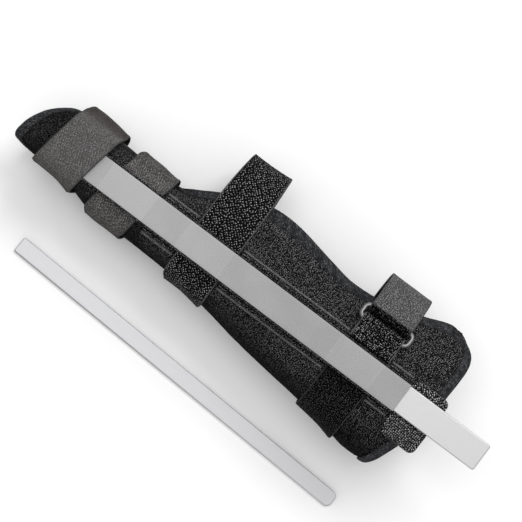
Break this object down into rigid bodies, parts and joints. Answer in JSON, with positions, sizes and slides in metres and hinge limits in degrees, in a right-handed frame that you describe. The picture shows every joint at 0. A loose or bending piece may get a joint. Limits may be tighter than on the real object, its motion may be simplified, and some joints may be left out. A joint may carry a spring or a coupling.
{
  "type": "wrist splint",
  "caption": "Black ulnar gutter splint for the outer fingers, hand and wrist, with strap closures, a metal ring and slide-in aluminium stays in stitched pockets.",
  "frame": {"origin": "centre of the bounding box's underside, on the surface that the splint lies on", "axes": "+X from the fingertips to the forearm, +Y towards the thumb, +Z away from the palm"},
  "size_m": [0.2868, 0.1246, 0.0679],
  "materials": {
    "loop_pile": "matt black loop pile with pale specks",
    "foam": "matt charcoal foam",
    "lining": "matt black brushed lining",
    "binding": "matt blue-black bound tape",
    "webbing": "matt warm charcoal woven loop webbing",
    "hook": "matt black moulded hook tape",
    "window": "frosted clear film",
    "stay": "satin natural aluminium",
    "ring": "polished steel wire"
  },
  "bodies": {
    "splint": {"outer_cover": "loop_pile", "foam_pad": "foam", "lining": "lining", "edge_binding": "binding", "pocket_base": "loop_pile", "pocket_window": "window", "pocket_side_ulnar": "loop_pile", "pocket_side_radial": "loop_pile", "seam_tape_ulnar_knuckle": "webbing", "seam_tape_ulnar_hand": "webbing", "seam_tape_ulnar_cuff": "webbing", "seam_tape_radial_knuckle": "webbing", "seam_tape_radial_hand": "webbing", "seam_tape_radial_cuff": "webbing", "pocket_tongue": "webbing", "tongue_hook": "hook", "palmar_pocket": "loop_pile", "fingertip_strap": "webbing", "finger_strap": "webbing", "palm_strap": "webbing", "wrist_anchor": "webbing", "wrist_strap": "webbing"},
    "dorsal_stay_body": {"dorsal_stay": "stay"},
    "palmar_stay_body": {"palmar_stay": "stay"},
    "fingertip_flap": {"fingertip_strap_flap": "webbing", "fingertip_strap_hook": "hook"},
    "finger_flap": {"finger_strap_flap": "webbing", "finger_strap_hook": "hook"},
    "palm_flap": {"palm_strap_flap": "webbing", "palm_strap_hook": "hook"},
    "wrist_end": {"wrist_strap_end": "webbing", "wrist_strap_hook": "hook"},
    "ring": {"wrist_ring": "ring"}
  },
  "joints": [
    {"name": "dorsal_stay_slide", "type": "slide", "parent": "splint", "child": "dorsal_stay_body", "axis": [0.9968, 0, 0.0797], "range_m": [-0.02, 0.2]},
    {"name": "palmar_stay_lift", "type": "slide", "parent": "splint", "child": "palmar_stay_body", "axis": [0, 0, 1], "range_m": [0, 0.1]},
    {"name": "fingertip_flap_hinge", "type": "hinge", "parent": "splint", "child": "fingertip_flap", "pos_m": [-0.10724, 0.03021, 0.03547], "axis": [0.9986, -0.0504, 0.0165], "range_deg": [0, 110]},
    {"name": "finger_flap_hinge", "type": "hinge", "parent": "splint", "child": "finger_flap", "pos_m": [-0.07263, 0.02861, 0.03509], "axis": [0.9989, -0.0396, 0.0234], "range_deg": [0, 110]},
    {"name": "palm_flap_hinge", "type": "hinge", "parent": "splint", "child": "palm_flap", "pos_m": [-0.02682, 0.05458, 0.04469], "axis": [0.9976, 0.0429, 0.0551], "range_deg": [0, 110]},
    {"name": "wrist_end_peel", "type": "hinge", "parent": "splint", "child": "wrist_end", "pos_m": [0.06639, 0.03614, 0.05987], "axis": [0.9944, 0, 0.1057], "range_deg": [0, 110]},
    {"name": "wrist_ring_hinge", "type": "hinge", "parent": "splint", "child": "ring", "pos_m": [0.06655, 0.02724, 0.0584], "axis": [0.9944, 0, 0.1057], "range_deg": [0, 8]}
  ]
}
